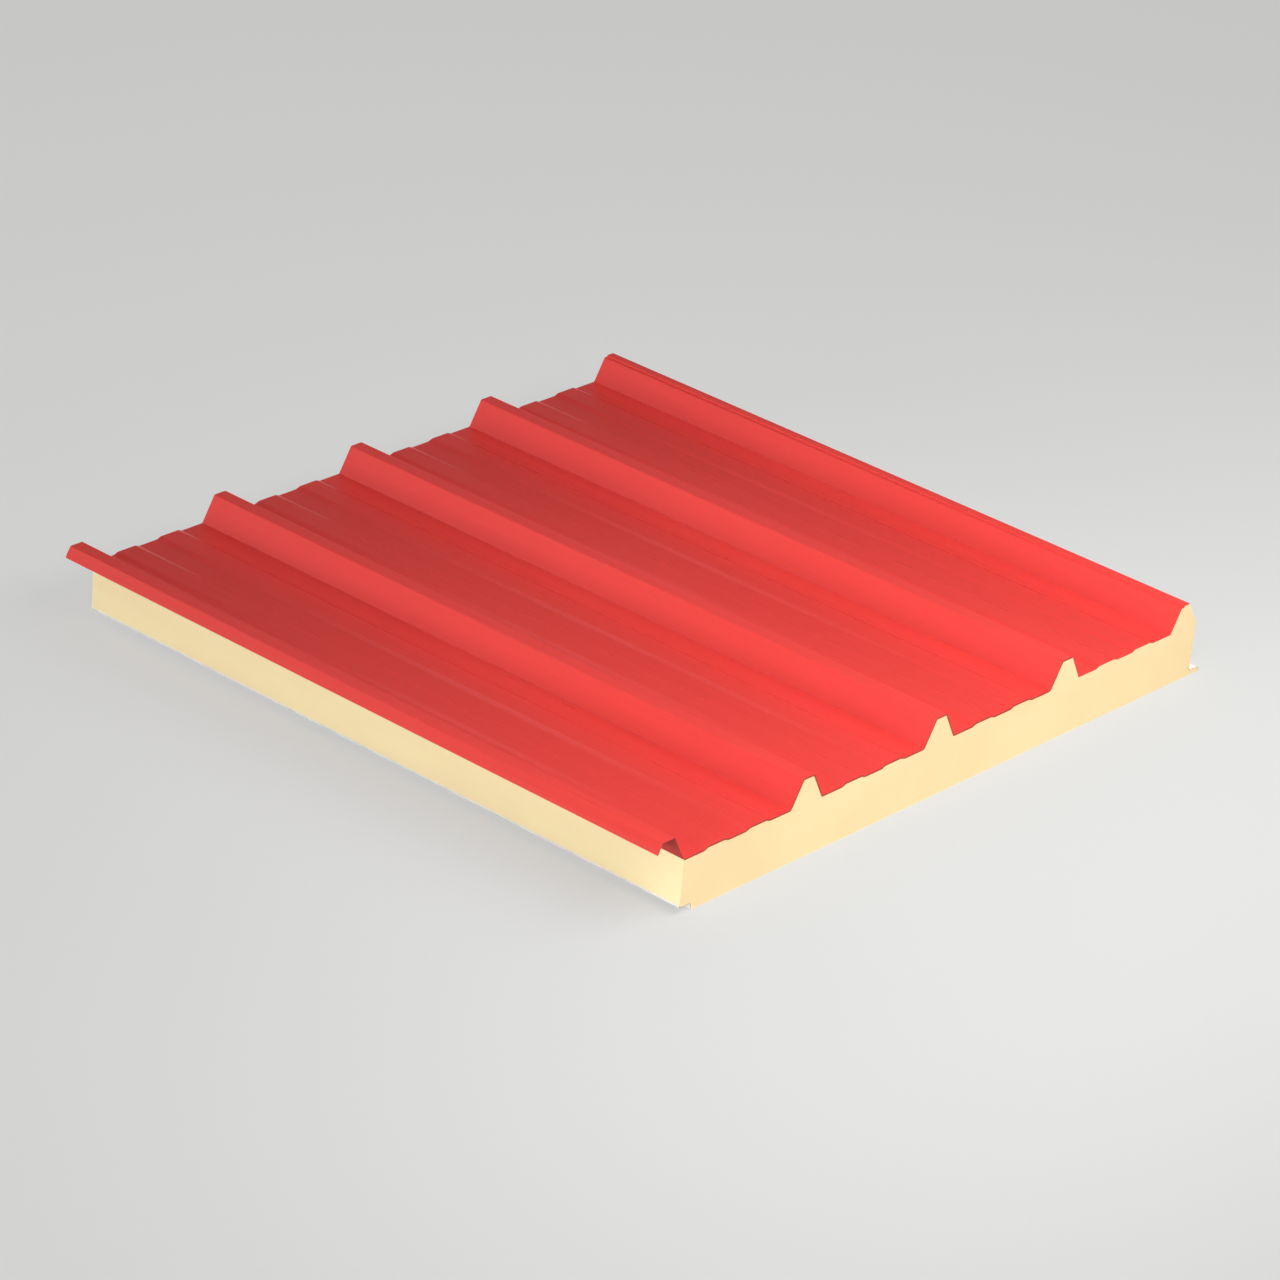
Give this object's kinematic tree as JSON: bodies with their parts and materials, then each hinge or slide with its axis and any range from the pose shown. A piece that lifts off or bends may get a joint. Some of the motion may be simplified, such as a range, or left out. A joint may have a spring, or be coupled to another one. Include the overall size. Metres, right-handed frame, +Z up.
{
  "type": "insulated sandwich panel",
  "caption": "Insulated roof panel: ribbed painted steel outer sheet, rigid foam core and flat steel liner, with a lapping rib on one side and a tongue on the other.",
  "frame": {"origin": "centre of the bounding box on the plane the panel lies on, the liner's underside", "axes": "+X across the cover width from the overlap rib to the tongue, +Y along the ribs, +Z up out of the outer sheet"},
  "size_m": [1.0656, 1, 0.11],
  "materials": {
    "red_coated_steel": "coil-coated steel, satin signal red",
    "rigid_foam": "cut rigid closed-cell foam, cream, matt",
    "white_coated_steel": "coil-coated steel, satin grey white"
  },
  "bodies": {
    "root": {"outer_sheet": "red_coated_steel", "foam_core": "rigid_foam", "liner_sheet": "white_coated_steel"}
  },
  "joints": []
}
